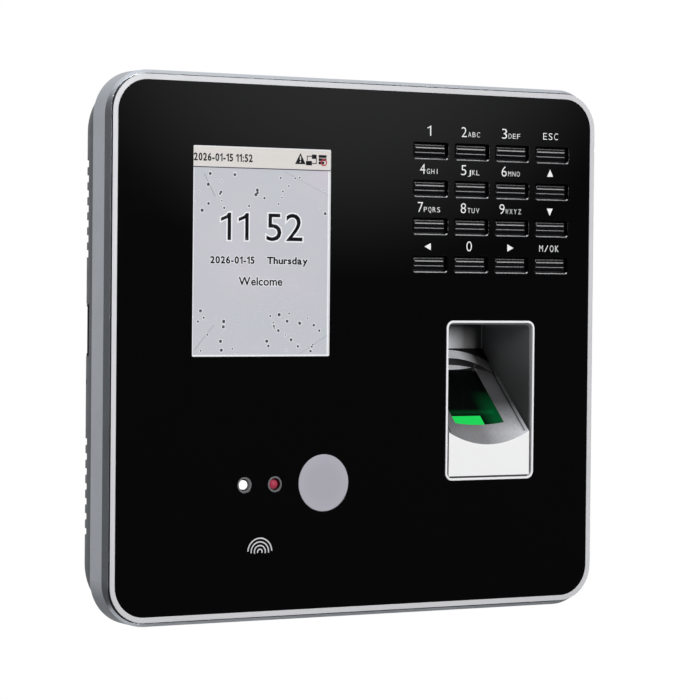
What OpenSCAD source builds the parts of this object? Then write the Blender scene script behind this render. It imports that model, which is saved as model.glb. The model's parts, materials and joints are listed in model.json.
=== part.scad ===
// Wall terminal with fingerprint sensor, keypad, portrait screen and face camera.
// Millimetres. The wall is the plane Y = 0, +X is right, +Z is up, the face looks to -Y.
// Every part is drawn lying on its back (X right, Y up the face, Z out of the wall)
// and stood up against the wall by the module upright().

/* [Body] */
// overall width of the front case
body_w = 157; // [140:0.5:180]
// overall height of the front case
body_h = 149; // [130:0.5:170]
// distance from the wall to the foremost face
body_t = 32; // [31:0.5:36]
// height above the wall of the line where front and rear case meet
parting = 22.4; // [21:0.1:24]
// corner radius of the front case
front_corner = 12.5; // [11:0.5:15]
// corner radius of the rear case
rear_corner = 16; // [14.5:0.5:18]
// radius of the rounded shoulder of the rear case
shoulder_r = 13; // [12:0.5:13.5]
// how far the rear case runs straight back before its shoulder
shoulder_drop = 1.2; // [0.5:0.1:2.5]
// angle at which the shoulder turns into a straight slope
shoulder_angle = 42; // [38:1:45]
// wall thickness of the rear case
wall = 2; // [1.6:0.1:2.6]
// width of the silver trim around the face
trim_w = 1.45; // [1:0.05:2]

/* [Screen] */
// visible width of the screen
screen_w = 42.5; // [38:0.1:46]
// visible height of the screen
screen_h = 56.9; // [52:0.1:60]
// screen centre, to the right of the middle
screen_x = -32; // [-36:0.1:-28]
// screen centre, above the middle
screen_y = 26.3; // [22:0.1:30]

/* [Keypad] */
// centre of the top left key, to the right of the middle
key_x0 = 21.6; // [19:0.1:24]
// centre of the top left key, above the middle
key_y0 = 55.5; // [52:0.1:57]
// distance between key columns
key_dx = 13.65; // [13:0.05:14]
// distance between key rows
key_dy = 10.6; // [10:0.05:11]
// width of a key opening in the panel
key_hole_w = 11.6; // [10:0.1:12.4]
// height of a key opening in the panel
key_hole_h = 4.8; // [4.2:0.1:5.4]
// free gap around a key
key_gap = 0.3; // [0.25:0.05:0.5]
// how far a key can be pressed
key_travel = 0.8; // [0.4:0.1:1]

/* [Fingerprint reader] */
// centre of the reader opening, to the right of the middle
finger_x = 42.2; // [40:0.1:44]
// centre of the reader opening, above the middle
finger_y = -14.9; // [-17:0.1:-12]
// outer width of the bright ring around the opening
finger_w = 29.7; // [28:0.1:31]
// outer height of the bright ring around the opening
finger_h = 45.3; // [43:0.1:47]
// depth of the reader opening behind the panel
finger_depth = 26; // [22:0.5:26]
// slope of the finger guide, measured from the panel
guide_slope = 47; // [40:1:48]
// width of the glass window
glass_w = 16.5; // [13:0.1:17]
// length of the glass window along the slope
glass_l = 22.5; // [20:0.1:24]

/* [Camera and light] */
// centre height of the camera row
optic_y = -37.1; // [-40:0.1:-34]
// centre of the left camera, to the right of the middle
face_camera_x = -36.9; // [-40:0.1:-34]
// centre of the right camera, to the right of the middle
ir_camera_x = -27.5; // [-30:0.1:-25]
// centre of the fill light, to the right of the middle
light_x = -12.2; // [-15:0.1:-10]
// diameter of the fill light disc
light_d = 15.9; // [14:0.1:18]
// diameter of each camera ring
ring_d = 4.3; // [4:0.1:5]

/* [Side openings] */
// number of slots in each vent group
vent_count = 7; // [4:1:8]
// distance between vent slots
vent_pitch = 4.03; // [3.6:0.01:4.4]
// height of the vent group centres above and below the middle
vent_centre = 37.4; // [35:0.1:39]
// centre height of the memory stick socket
usb_y = 4.8; // [2:0.1:8]
// height of the reset pinhole
pinhole_y = -9.2; // [-12:0.1:-7]

/* [Wall mounting] */
// thickness of the steel wall plate
plate_t = 1.5; // [1.2:0.1:1.8]
// distance between wall screws across
wall_screw_dx = 100; // [94:1:104]
// distance between wall screws up and down
wall_screw_dy = 80; // [70:1:84]
// diameter of a wall screw hole
wall_screw_d = 4.5; // [4:0.1:5.5]
// how far the terminal is lifted to leave its hooks
lift = 8; // [7:0.5:8]

/* [Show] */
// part to show, or all of them

/* [Hidden] */
$fn = 64;
case_lip = 1.04;
trim_gap = 0.26;
front_skin = 2.3;
trim_out_w = body_w - 2 * (case_lip + trim_gap);
trim_out_h = body_h - 2 * (case_lip + trim_gap);
trim_in_w = trim_out_w - 2 * trim_w;
trim_in_h = trim_out_h - 2 * trim_w;
trim_in_r = front_corner - case_lip - trim_gap - trim_w - 1.05;
shelf_top = body_t - 1.8;
shelf_low = shelf_top - 1.8;
panel_top = body_t - 0.15;
rear_w = body_w - 0.6;
rear_h = body_h - 0.6;
rear_low = 0.4;
back_low = 2;
back_top = 4.2;
boss_d = 9.6;
post_d = 6.4;
board_low = 16;
board_top = 17.6;
optic_board_low = 20.8;
optic_board_top = 22;
optic_post_d = 2.6;
lcd_w = 50;
lcd_h = 69.2;
lcd_drop = 2.9;
lcd_low = shelf_low - 0.8;
key_w = key_hole_w - 2 * key_gap;
key_h = key_hole_h - 2 * key_gap;
key_right_x = key_x0 + 3 * key_dx;
key_low_y = key_y0 - 3 * key_dy;
key_board_low = 21;
key_board_top = 22.6;
key_mat_top = 23.4;
key_stem_low = 26;
key_shoulder = shelf_low - 0.3;
key_base = body_t - 1.35;
key_crown = 0.78;
key_hip = 0.9;
lens_low = panel_top - 0.6;
vent_front = parting - 3.7;
usb_x = -75.2;
usb_z = parting - 5.8;
guide_w = finger_w - 2.5;
guide_low = finger_y - finger_h / 2 + 1.15;
guide_edge = guide_low + 12.4;
guide_top = body_t - 0.3;
well_floor = body_t - finger_depth;
bezel_w = 0.6;
guide_wall = 3.1;
guide_bed = 5.5;
arch_y = 14.5;
arch_r = 19;
glass_low = -4.9;
glass_high = -2.95;
strip_right = 2.5;
strip_l = 3.9;
channel_sag = 2.7;
channel_r = (guide_w * guide_w / 4 + channel_sag * channel_sag) / (2 * channel_sag);
glass_t0 = 5.5;
case_screw_x = 60;
case_screw_y = 64.5;
tab_x = -10;
tab_top = -44.5;
plate_low = -46;
plate_high = 52;
bay_x0 = -35;
bay_x1 = 5;
bay_y0 = -30;
bay_y1 = 4;
tamper_x = -48;
tamper_y = 10;
HOOKS = [[-38, 36], [38, 36], [-43, -26], [15, -26]];
POSTS = [[-56, 43], [13, 43], [-56, -41], [13, -41]];

BODY_GREY = [0.60, 0.63, 0.67];
REAR_GREY = [0.42, 0.45, 0.48];
SILVER = [0.85, 0.85, 0.87];
BLACK = [0.05, 0.05, 0.06];
STEEL = [0.70, 0.71, 0.73];
BOARD = [0.06, 0.30, 0.18];
PLASTIC = [0.15, 0.15, 0.16];

// ---------- shared shapes ----------

// stands a part drawn on its back up against the wall
module upright() {
    rotate([90, 0, 0]) children();
}

// rounded rectangle outline about the origin
module outline(w, h, r) {
    square([w - 2 * r, h], center = true);
    square([w, h - 2 * r], center = true);
    for (sx = [-1, 1])
        for (sy = [-1, 1])
            translate([sx * (w / 2 - r), sy * (h / 2 - r)]) circle(r);
}

// rounded slab between two heights
module slab(w, h, r, z0, z1) {
    translate([0, 0, z0]) linear_extrude(z1 - z0) outline(w, h, r);
}

// box given by its limits on the three axes
module block(x0, x1, y0, y1, z0, z1) {
    translate([x0, y0, z0]) cube([x1 - x0, y1 - y0, z1 - z0]);
}

// upright rod between two heights
module rod(x, y, d, z0, z1) {
    translate([x, y, z0]) cylinder(d = d, h = z1 - z0);
}

// sweeps an edge profile (out, up) around a rounded rectangle and fills the middle
module swept(w, h, r, z0, z1) {
    cx = w / 2 - r;
    cy = h / 2 - r;
    block(-cx, cx, -cy, cy, z0, z1);
    for (side = [0, 1]) {
        mirror([0, side, 0])
            translate([-cx, cy, 0]) rotate([90, 0, 90]) linear_extrude(2 * cx) children();
        mirror([side, 0, 0])
            translate([cx, cy, 0]) rotate([90, 0, 0]) linear_extrude(2 * cy) children();
    }
    for (sx = [0, 1])
        for (sy = [0, 1])
            mirror([sx, 0, 0]) mirror([0, sy, 0])
                translate([cx, cy, 0]) rotate_extrude(angle = 90) children();
}

// edge profile of the rear case, thinner by "skin" for the inside
module rear_profile(skin, low) {
    r = shoulder_r - skin;
    cu = rear_corner - shoulder_r;
    turn_u = cu + r * cos(shoulder_angle);
    start_z = parting - shoulder_drop;
    turn_z = start_z - r * sin(shoulder_angle);
    low_u = max(0.5, turn_u - (turn_z - low) * tan(shoulder_angle));
    bands = 8;
    polygon(concat(
        [[0, low], [low_u, low]],
        [for (i = [bands:-1:0])
            let (a = shoulder_angle * i / bands)
            [cu + r * cos(a), start_z - r * sin(a)]],
        [[cu + r, parting], [0, parting]]));
}

// everything inside the outer skin of the rear case
module rear_solid(skin, low) {
    swept(rear_w, rear_h, rear_corner, low, parting) rear_profile(skin, low);
}

// edge profile of the front case with its chamfer
module front_profile() {
    r = front_corner;
    polygon([[0, parting], [r, parting], [r, body_t - 2.4], [r - 1, body_t - 0.4], [0, body_t - 0.4]]);
}

// places a part on the sloping finger guide: X across, Y up the slope, Z out of it
module on_slope() {
    translate([finger_x, guide_edge, guide_top]) rotate([-guide_slope, 0, 0]) children();
}

// ---------- wall side ----------

// one bent hook with its upward lip
module hook(x, y) {
    block(x - 4.5, x + 4.5, y, y + plate_t, 0, 6.1);
    block(x - 4.5, x + 4.5, y, y + 6.5, 4.6, 6.1);
}

module wall_plate() {
    color(STEEL) upright() difference() {
        union() {
            translate([0, (plate_low + plate_high) / 2, 0])
                slab(110, plate_high - plate_low, 5, 0, plate_t);
            for (h = HOOKS)
                hook(h[0], h[1]);
            block(tab_x - 6, tab_x + 6, plate_low, plate_low + plate_t, 0, 11);
        }
        for (h = HOOKS)
            block(h[0] - 5, h[0] + 5, h[1] - 8, h[1], -1, plate_t + 1);
        for (sx = [-1, 1])
            for (sy = [-1, 1])
                rod(sx * wall_screw_dx / 2, sy * wall_screw_dy / 2, wall_screw_d, -1, 3);
        translate([-15, -15, 0]) slab(38, 36, 3, -1, 3);
        translate([tab_x, plate_low - 1, 6.2]) rotate([-90, 0, 0]) cylinder(d = 3.7, h = 4);
    }
}

module lock_screw() {
    color(STEEL) upright() translate([tab_x, 0, 6.2]) rotate([-90, 0, 0]) difference() {
        union() {
            translate([0, 0, plate_low - 2.5]) cylinder(d = 5.6, h = 2.2);
            translate([0, 0, plate_low - 0.4]) cylinder(d = 3, h = 11.4);
        }
        translate([0, 0, plate_low - 3]) cylinder(d = 2.6, h = 1.9, $fn = 6);
    }
}

// ---------- cases ----------

module front_case() {
    color(BODY_GREY) upright() {
        difference() {
            swept(body_w, body_h, front_corner, parting, body_t - 0.4) front_profile();
            slab(body_w - 2 * front_skin, body_h - 2 * front_skin, rear_corner - wall,
                parting - 1, shelf_low);
            slab(body_w - 2 * case_lip, body_h - 2 * case_lip, front_corner - case_lip - 1.05,
                shelf_top, body_t + 1);
            translate([screen_x, screen_y - lcd_drop, 0])
                slab(lcd_w + 0.5, lcd_h + 0.5, 1, shelf_low - 1, shelf_top + 1);
            for (c = [0:3])
                for (r = [0:3])
                    translate([key_x0 + c * key_dx, key_y0 - r * key_dy, 0])
                        slab(key_hole_w + 0.4, key_hole_h + 0.4, 0.8, shelf_low - 1, shelf_top + 1);
            translate([finger_x, finger_y, 0])
                slab(finger_w + 0.4, finger_h + 0.4, 2.4, shelf_low - 1, shelf_top + 1);
            rod(light_x, optic_y, light_d + 3.2, shelf_low - 1, shelf_top + 1);
            rod(face_camera_x, optic_y, 7.4, shelf_low - 1, shelf_top + 1);
            rod(ir_camera_x, optic_y, 7.4, shelf_low - 1, shelf_top + 1);
        }
        for (sx = [-1, 1])
            for (sy = [-1, 1])
                difference() {
                    rod(sx * case_screw_x, sy * case_screw_y, 6.6, parting, shelf_low);
                    rod(sx * case_screw_x, sy * case_screw_y, 3, parting - 1, shelf_low - 1);
                }
        for (side = [-1, 1]) {
            rod((face_camera_x + ir_camera_x) / 2, optic_y + side * 6.8, optic_post_d,
                optic_board_top, shelf_low);
            rod(light_x + side * 9, optic_y + side * 8.6, optic_post_d - 0.2,
                optic_board_top, shelf_low);
        }
    }
}

module trim_frame() {
    color(SILVER) upright() difference() {
        slab(trim_out_w, trim_out_h, trim_in_r + trim_w, shelf_top, body_t);
        slab(trim_in_w, trim_in_h, trim_in_r, shelf_top - 1, body_t + 1);
    }
}

module front_panel() {
    color(BLACK) upright() difference() {
        slab(trim_in_w - 0.1, trim_in_h - 0.1, trim_in_r - 0.05, shelf_top, panel_top);
        translate([screen_x, screen_y, 0])
            slab(screen_w, screen_h, 0.4, shelf_top - 1, body_t + 1);
        for (c = [0:3])
            for (r = [0:3])
                translate([key_x0 + c * key_dx, key_y0 - r * key_dy, 0])
                    slab(key_hole_w, key_hole_h, 0.7, shelf_top - 1, body_t + 1);
        translate([finger_x, finger_y, 0])
            slab(finger_w + 0.2, finger_h + 0.2, 2.3, shelf_top - 1, body_t + 1);
        rod(light_x, optic_y, light_d, shelf_top - 1, body_t + 1);
        rod(face_camera_x, optic_y, ring_d + 0.1, shelf_top - 1, body_t + 1);
        rod(ir_camera_x, optic_y, ring_d + 0.1, shelf_top - 1, body_t + 1);
    }
}

module display_lens() {
    color([0.7, 0.75, 0.8, 0.4]) upright() translate([screen_x, screen_y, 0])
        slab(screen_w - 0.1, screen_h - 0.1, 0.35, lens_low, panel_top);
}

// slots of one side, drawn on the left and mirrored to the right
module vents() {
    for (group = [-1, 1])
        for (i = [0:vent_count - 1]) {
            y = group * vent_centre + (i - (vent_count - 1) / 2) * vent_pitch;
            block(-body_w / 2 - 2, -62.5, y - 1, y + 1, vent_front - 10, vent_front);
        }
}

// posts and bosses that stand inside the rear case
module rear_posts() {
    for (sx = [-1, 1])
        for (sy = [-1, 1])
            rod(sx * case_screw_x, sy * case_screw_y, boss_d, 0, parting);
    for (p = POSTS)
        rod(p[0], p[1], post_d, 0, board_low);
    block(tab_x - 8.6, tab_x + 8.6, -70, tab_top + 1.9, 0, 14);
    block(tab_x - 4.5, tab_x + 4.5, tab_top, -32, 0, 10.4);
}

module rear_case() {
    color(REAR_GREY) upright() difference() {
        rear_solid(0, rear_low);
        difference() {
            rear_solid(wall, back_top);
            rear_posts();
        }
        slab(rear_w - 1.6, rear_h - 1.6, rear_corner - 0.8, parting - 0.6, parting + 1);
        block(-55.7, 55.7, plate_low - lift - 0.6, plate_high + 0.6, -1, back_low);
        for (h = HOOKS)
            block(h[0] - 5.2, h[0] + 5.2, h[1] - lift - 0.8, h[1] + plate_t + 0.4, 0, back_top + 1);
        for (sx = [-1, 1])
            for (sy = [-1, 1]) {
                x = sx * wall_screw_dx / 2;
                y = sy * wall_screw_dy / 2;
                block(x - 5.5, x + 5.5, y - 5.5 - lift, y + 5.5, 0, back_low + 1.5);
                rod(sx * case_screw_x, sy * case_screw_y, 6.4, -1, 12);
                rod(sx * case_screw_x, sy * case_screw_y, 3.4, 11, parting + 1);
            }
        for (p = POSTS)
            rod(p[0], p[1], 2.4, 6, board_low + 1);
        block(bay_x0, bay_x1, bay_y0, bay_y1, 0, back_top + 1);
        block(tab_x - 7, tab_x + 7, -80, tab_top + 0.3, -1, 12.4);
        translate([tab_x, tab_top - 1, 6.2]) rotate([-90, 0, 0]) cylinder(d = 3.7, h = 12);
        rod(tamper_x, tamper_y, 4.4, 0, back_top + 1);
        vents();
        mirror([1, 0, 0]) vents();
        block(-body_w / 2 - 2, -66, usb_y - 7.05, usb_y + 7.05, usb_z - 3.3, usb_z + 3.3);
        translate([-body_w / 2 - 2, pinhole_y, parting - 5]) rotate([0, 90, 0])
            cylinder(d = 1.6, h = 10);
    }
}

module case_gasket() {
    color(BLACK) upright() difference() {
        slab(rear_w - 1.7, rear_h - 1.7, rear_corner - 0.85, parting - 0.6, parting);
        slab(rear_w - 3.1, rear_h - 3.1, rear_corner - 1.55, parting - 1, parting + 1);
    }
}

module case_screws() {
    color(STEEL) upright()
        for (sx = [-1, 1])
            for (sy = [-1, 1])
                difference() {
                    union() {
                        rod(sx * case_screw_x, sy * case_screw_y, 5.6, 9.8, 12);
                        rod(sx * case_screw_x, sy * case_screw_y, 2.9, 11, shelf_low - 1.4);
                    }
                    block(sx * case_screw_x - 0.5, sx * case_screw_x + 0.5,
                        sy * case_screw_y - 1.9, sy * case_screw_y + 1.9, 9, 11);
                    block(sx * case_screw_x - 1.9, sx * case_screw_x + 1.9,
                        sy * case_screw_y - 0.5, sy * case_screw_y + 0.5, 9, 11);
                }
}

// ---------- electronics ----------

module main_board() {
    color(BOARD) upright() difference() {
        block(-61.8, 18, -46, 48, board_low, board_top);
        for (p = POSTS)
            rod(p[0], p[1], 3, board_low - 1, board_top + 1);
    }
}

module board_chips() {
    color(PLASTIC) upright() {
        block(-42, -26, 12, 28, board_top, board_top + 1.4);
        block(-20, -8, 14, 26, board_top, board_top + 1.2);
        block(-52, -42, -24, -14, board_top, board_top + 1.6);
        block(-2, 8, -20, -4, board_top, board_top + 1.2);
        for (i = [0:4])
            rod(-30 + i * 7, 38, 5, board_top, board_top + 5.4);
    }
}

module board_screws() {
    color(STEEL) upright()
        for (p = POSTS) {
            rod(p[0], p[1], 5, board_top, board_top + 1.6);
            rod(p[0], p[1], 2.3, 8, board_top + 1);
        }
}

module lcd_module() {
    color([0.75, 0.76, 0.78]) upright() {
        translate([screen_x, screen_y - lcd_drop, 0]) slab(lcd_w, lcd_h, 0.6, lcd_low, shelf_top);
        translate([screen_x, screen_y, 0])
            slab(screen_w - 0.2, screen_h - 0.2, 0.3, shelf_top, lens_low - 0.1);
    }
}

module lcd_flex() {
    color([0.75, 0.45, 0.15]) upright() {
        block(screen_x - 8, screen_x + 8, -14.2, -8, lcd_low - 0.3, lcd_low);
        block(screen_x - 8, screen_x + 8, -14.5, -14.2, board_top + 1.5, lcd_low);
        block(screen_x - 9, screen_x + 9, -16.5, -12.5, board_top, board_top + 1.5);
    }
}

// ---------- keypad ----------

// crown of a key, cut from bottom to top: two ridges, each with a narrow edge that leans up
module crown_profile() {
    half = key_h / 2;
    points = [[-0.9, 0], [-0.30, 0.60], [-0.19, 0.50], [0.31, 0.766], [0.47, 0.62], [0.74, 0.56],
        [0.87, 0.44], [1, 0]];
    polygon([for (p = points) [p[0] * half, key_base + p[1]]]);
}

// one key: bar with a hipped crown, shoulders that hold it behind the case, and a stem
module key_at(c, r) {
    color(BLACK) upright() translate([key_x0 + c * key_dx, key_y0 - r * key_dy, 0]) {
        block(-key_w / 2, key_w / 2, -key_h / 2, key_h / 2, key_shoulder, key_base);
        intersection() {
            rotate([90, 0, 90]) linear_extrude(key_w, center = true) crown_profile();
            rotate([90, 0, 0]) linear_extrude(key_h, center = true) polygon([
                [-key_w / 2, key_base], [key_w / 2, key_base],
                [key_w / 2 - key_hip, key_base + key_crown],
                [-key_w / 2 + key_hip, key_base + key_crown]]);
        }
        block(-key_w / 2 - 0.85, key_w / 2 + 0.85, -key_h / 2 - 0.9, key_h / 2 + 0.9,
            key_shoulder - 0.8, key_shoulder);
        rod(0, 0, 3.2, key_stem_low, key_shoulder - 0.7);
    }
}

module key_1() { key_at(0, 0); }
module key_2() { key_at(1, 0); }
module key_3() { key_at(2, 0); }
module key_esc() { key_at(3, 0); }
module key_4() { key_at(0, 1); }
module key_5() { key_at(1, 1); }
module key_6() { key_at(2, 1); }
module key_up() { key_at(3, 1); }
module key_7() { key_at(0, 2); }
module key_8() { key_at(1, 2); }
module key_9() { key_at(2, 2); }
module key_down() { key_at(3, 2); }
module key_left() { key_at(0, 3); }
module key_0() { key_at(1, 3); }
module key_right() { key_at(2, 3); }
module key_ok() { key_at(3, 3); }

module key_mat() {
    color([0.75, 0.75, 0.72]) upright() {
        block(key_x0 - 8, key_right_x + 8, key_low_y - 6, key_y0 + 3.7, key_board_top, key_mat_top);
        for (c = [0:3])
            for (r = [0:3])
                translate([key_x0 + c * key_dx, key_y0 - r * key_dy, key_mat_top])
                    cylinder(d1 = 7, d2 = 4, h = key_stem_low - key_travel - 0.35 - key_mat_top);
    }
}

module key_board() {
    color(BOARD) upright()
        block(key_x0 - 8.6, key_right_x + 8.4, key_low_y - 6.7, key_y0 + 3.9, key_board_low, key_board_top);
}

module key_link() {
    color(PLASTIC) upright() block(13.6, 17, 24, 37, board_top, key_board_low);
}

// ---------- fingerprint reader ----------

module finger_bezel() {
    color(SILVER) upright() translate([finger_x, finger_y, 0]) difference() {
        slab(finger_w, finger_h, 2.2, body_t - 1.1, body_t);
        slab(finger_w - 2 * bezel_w, finger_h - 2 * bezel_w, 2.2 - bezel_w, body_t - 2, body_t + 1);
    }
}

module finger_well() {
    color(PLASTIC) upright() translate([finger_x, finger_y, 0]) difference() {
        union() {
            slab(finger_w, finger_h, 2.2, well_floor - 1.1, body_t - 1.1);
            slab(finger_w + 3.4, finger_h + 3.4, 2.6, shelf_low - 1.4, shelf_low);
        }
        slab(finger_w - 1.9, finger_h - 2.1, 1.3, well_floor, body_t + 1);
    }
}

module finger_guide() {
    run = guide_top - well_floor;
    s = guide_slope;
    back_y = guide_edge - guide_bed / sin(s);
    tip_y = guide_edge + run / tan(s);
    color(SILVER) upright() difference() {
        union() {
            difference() {
                translate([finger_x, 0, 0]) rotate([90, 0, 90]) linear_extrude(guide_w, center = true)
                    polygon([
                        [guide_low, guide_top - guide_wall], [guide_low, guide_top],
                        [guide_edge, guide_top], [tip_y, guide_top - run],
                        [tip_y - guide_bed / sin(s), guide_top - run],
                        [back_y + guide_wall / tan(s), guide_top - guide_wall]]);
                on_slope() translate([0, -30, channel_r - channel_sag]) rotate([-90, 0, 0])
                    cylinder(r = channel_r, h = 90, $fn = 180);
            }
            on_slope() intersection() {
                translate([0, arch_y, -4.8]) difference() {
                    cylinder(r = arch_r, h = 4.9);
                    translate([0, 0, -1]) cylinder(r = arch_r - 3.5, h = 7);
                }
                block(-guide_w / 2, guide_w / 2, 22, 40, -6, 3);
            }
        }
        block(finger_x - 20, finger_x + 20, -60, 20, 0, well_floor);
        on_slope() block(-glass_w / 2, glass_w / 2, glass_t0, glass_t0 + glass_l, -9, 3);
        on_slope() difference() {
            block(-20, 20, 26, 50, -9, 3);
            translate([0, arch_y, -10]) cylinder(r = arch_r, h = 14);
        }
        for (side = [-1, 1])
            on_slope() translate([side * (guide_w / 2 - 1.1), 0, 0])
                block(-0.25, 0.25, 0.8, 26, -0.9, 3);
    }
}

// black filler between the arch of the guide and the back of the recess
module guide_shade() {
    color(BLACK) upright() intersection() {
        on_slope() difference() {
            block(-guide_w / 2 + 0.1, guide_w / 2 - 0.1, 26.5, 37, -3.5, -0.5);
            translate([0, arch_y, -5]) cylinder(r = arch_r + 0.1, h = 6);
        }
        block(finger_x - 20, finger_x + 20, -60, 20, well_floor, body_t);
    }
}

module sensor_window() {
    color([0.02, 0.03, 0.03]) upright() on_slope() difference() {
        block(-glass_w / 2 + 0.1, glass_w / 2 - 0.1, glass_t0 + 0.1, glass_t0 + glass_l - 0.1,
            glass_low, glass_high);
        block(-glass_w, strip_right, glass_t0 - 1, glass_t0 + strip_l, -6, 0);
    }
}

module glow_strip() {
    color([0.1, 0.9, 0.35]) upright() on_slope()
        block(-glass_w / 2 + 0.1, strip_right - 0.05, glass_t0 + 0.1, glass_t0 + strip_l - 0.05,
            glass_low, glass_high);
}

module sensor_module() {
    color(PLASTIC) upright() translate([finger_x, 0, 0])
        rotate([90, 0, 90]) linear_extrude(22, center = true) polygon([
            [guide_low + 1, well_floor], [guide_low + 23, well_floor],
            [guide_low + 5.4, well_floor + 19.2], [guide_low + 1, well_floor + 19.2]]);
}

// ---------- cameras, light and sound ----------

module camera_board() {
    color(BOARD) upright() block(-44, -23.2, optic_y - 8.5, optic_y + 8.5,
        optic_board_low, optic_board_top);
}

// one camera barrel with the ring that shows in the panel
module camera(x) {
    color(PLASTIC) upright() difference() {
        union() {
            block(x - 4.2, x + 4.2, optic_y - 4.2, optic_y + 4.2, optic_board_top, 25);
            rod(x, optic_y, 6.8, 25, shelf_top);
            rod(x, optic_y, ring_d, shelf_top, panel_top);
        }
        rod(x, optic_y, ring_d - 0.9, shelf_top - 0.6, body_t + 1);
    }
}

module camera_lens(x) {
    color([0.7, 0.7, 0.75]) upright() intersection() {
        rod(x, optic_y, 2.5, shelf_top - 0.6, body_t);
        translate([x, optic_y, panel_top - 2.25]) sphere(r = 1.9);
    }
}

module face_camera() { camera(face_camera_x); }
module face_camera_lens() { camera_lens(face_camera_x); }
module ir_camera() { camera(ir_camera_x); }
module ir_camera_lens() { camera_lens(ir_camera_x); }

module fill_light_lens() {
    color([0.85, 0.85, 0.88]) upright() {
        rod(light_x, optic_y, light_d - 0.15, shelf_top, panel_top);
        rod(light_x, optic_y, light_d + 2.8, shelf_top - 1, shelf_top);
    }
}

module fill_light_cup() {
    color([0.9, 0.9, 0.9]) upright() difference() {
        rod(light_x, optic_y, light_d + 2.4, optic_board_top, shelf_top - 1);
        translate([light_x, optic_y, optic_board_top - 0.1])
            cylinder(d1 = light_d - 3, d2 = light_d + 1, h = shelf_top - 0.7 - optic_board_top);
    }
}

module fill_light_board() {
    color(BOARD) upright() {
        block(light_x - 10.5, light_x + 10.5, optic_y - 10, optic_y + 10,
            optic_board_low, optic_board_top);
        for (sx = [-1, 1])
            for (sy = [-1, 1])
                block(light_x + 3 * sx - 1.2, light_x + 3 * sx + 1.2,
                    optic_y + 3 * sy - 1.2, optic_y + 3 * sy + 1.2,
                    optic_board_top, optic_board_top + 0.9);
    }
}

module speaker() {
    color(PLASTIC) upright() {
        block(-69.5, -64, -51, -24, 11, 20.6);
        translate([-70.3, -37.5, 15.8]) rotate([0, 90, 0]) cylinder(d = 8.6, h = 1);
    }
}

// ---------- sockets ----------

module usb_socket() {
    color(STEEL) upright() {
        difference() {
            block(usb_x, -61.8, usb_y - 6.9, usb_y + 6.9, usb_z - 3.1, usb_z + 3.1);
            block(usb_x - 1, usb_x + 10, usb_y - 6.5, usb_y + 6.5, usb_z - 2.7, usb_z + 2.7);
        }
        block(usb_x + 0.6, usb_x + 10, usb_y - 5.6, usb_y + 5.6, usb_z + 0.2, usb_z + 2);
    }
}

// lines the opening of the case from its outer surface to the metal shell
module usb_collar() {
    color(PLASTIC) upright() difference() {
        intersection() {
            rear_solid(0.1, rear_low);
            block(-body_w / 2 - 2, usb_x, usb_y - 6.95, usb_y + 6.95, usb_z - 3.2, usb_z + 3.2);
        }
        block(-body_w / 2 - 2, usb_x + 1, usb_y - 6.3, usb_y + 6.3, usb_z - 2.6, usb_z + 2.6);
    }
}

module lan_socket() {
    color(STEEL) upright() difference() {
        block(-33, -17, -14, 2, 2.8, board_low);
        block(-30.9, -19.1, -15, -2, 5, 12.4);
        block(-28.2, -21.8, -15, -2, 3.9, 6);
    }
}

module power_jack() {
    color(PLASTIC) upright() {
        difference() {
            block(-5, 4, -14, 0, 4.6, board_low);
            translate([-0.5, -15, 10.4]) rotate([-90, 0, 0]) cylinder(d = 5.8, h = 11);
        }
        translate([-0.5, -12, 10.4]) rotate([-90, 0, 0]) cylinder(d = 2, h = 10);
    }
}

module terminal_block() {
    color([0.15, 0.45, 0.2]) upright() difference() {
        block(-16, -6, -13, -3, 6, board_low);
        for (i = [0:2]) {
            block(-15.3 + i * 3.2, -12.9 + i * 3.2, -14, -7, 8, 11);
            rod(-14.1 + i * 3.2, -7.5, 2, 5, 7);
        }
    }
}

module reset_switch() {
    color(PLASTIC) upright() difference() {
        block(-67.4, -61.8, pinhole_y - 3, pinhole_y + 3, parting - 7.4, parting - 2.6);
        translate([-68, pinhole_y, parting - 5]) rotate([0, 90, 0]) cylinder(d = 2.8, h = 3);
    }
}

module reset_button() {
    color([0.8, 0.8, 0.8]) upright() translate([-70.6, pinhole_y, parting - 5])
        rotate([0, 90, 0]) cylinder(d = 2.2, h = 4.6);
}

module tamper_switch() {
    color(PLASTIC) upright() difference() {
        block(tamper_x - 3.5, tamper_x + 3.5, tamper_y - 3.5, tamper_y + 3.5, 11, board_low);
        rod(tamper_x, tamper_y, 4, 10, 14.4);
    }
}

module tamper_plunger() {
    color([0.8, 0.15, 0.1]) upright() rod(tamper_x, tamper_y, 3.4, plate_t + 0.3, 13);
}

module clock_cell() {
    color(STEEL) upright() {
        rod(-30, 30, 12.5, 13.4, board_low - 0.6);
        difference() {
            rod(-30, 30, 15, 13, board_low);
            rod(-30, 30, 12.5, 12, board_low - 0.6);
        }
    }
}

wall_plate();
lock_screw();
front_case();
trim_frame();
front_panel();
display_lens();
rear_case();
case_gasket();
case_screws();
main_board();
board_chips();
board_screws();
lcd_module();
lcd_flex();
key_1();
key_2();
key_3();
key_esc();
key_4();
key_5();
key_6();
key_up();
key_7();
key_8();
key_9();
key_down();
key_left();
key_0();
key_right();
key_ok();
key_mat();
key_board();
key_link();
finger_bezel();
finger_well();
finger_guide();
guide_shade();
sensor_window();
glow_strip();
sensor_module();
camera_board();
face_camera();
face_camera_lens();
ir_camera();
ir_camera_lens();
fill_light_lens();
fill_light_cup();
fill_light_board();
speaker();
usb_socket();
usb_collar();
lan_socket();
power_jack();
terminal_block();
reset_switch();
reset_button();
tamper_switch();
tamper_plunger();
clock_cell();
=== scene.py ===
import json
import math
import random

import bmesh
import bpy
from mathutils import Matrix, Quaternion, Vector

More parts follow.
